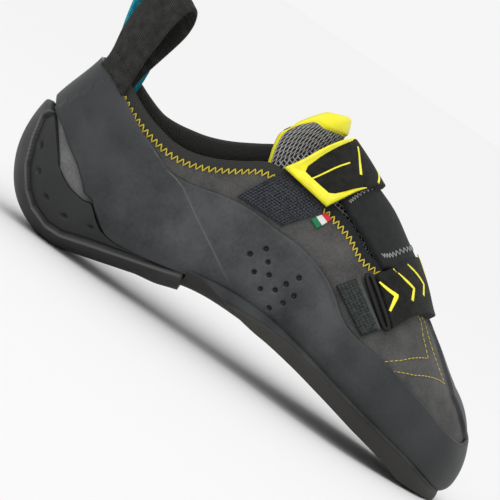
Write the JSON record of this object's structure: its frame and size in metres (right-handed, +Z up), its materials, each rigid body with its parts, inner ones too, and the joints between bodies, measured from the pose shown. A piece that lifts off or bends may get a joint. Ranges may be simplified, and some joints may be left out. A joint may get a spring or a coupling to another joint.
{
  "type": "climbing shoe",
  "caption": "Right climbing shoe with two straps, a rubber rand and heel, a half sole, a mesh tongue and two webbing pull loops.",
  "frame": {"origin": "middle of the shoe's box on the floor", "axes": "+X from heel to toe, +Y to the big toe's side, +Z up"},
  "size_m": [0.2556, 0.0906, 0.1315],
  "materials": {
    "suede": "matte",
    "rubber": "satin",
    "sole_rubber": "matte",
    "mesh": "matte",
    "webbing": "matte",
    "fuzzy": "matte",
    "stretch": "matte",
    "yellow": "satin",
    "wire": "gloss",
    "teal": "matte",
    "board": "matte",
    "tag": "matte"
  },
  "bodies": {
    "root": {"upper": "suede", "rand": "rubber", "heel_cup": "rubber", "outsole": "sole_rubber", "insole": "board", "tongue": "mesh", "closure_patch": "fuzzy", "bridge_panel": "stretch", "strap_top": "webbing", "strap_top_tab": "yellow", "strap_lower": "webbing", "webbing_lower": "webbing", "webbing_top": "webbing", "ring_lower": "wire", "ring_top": "wire", "pull_loop_outer": "webbing", "pull_loop_inner": "teal", "side_tag": "tag"}
  },
  "joints": []
}
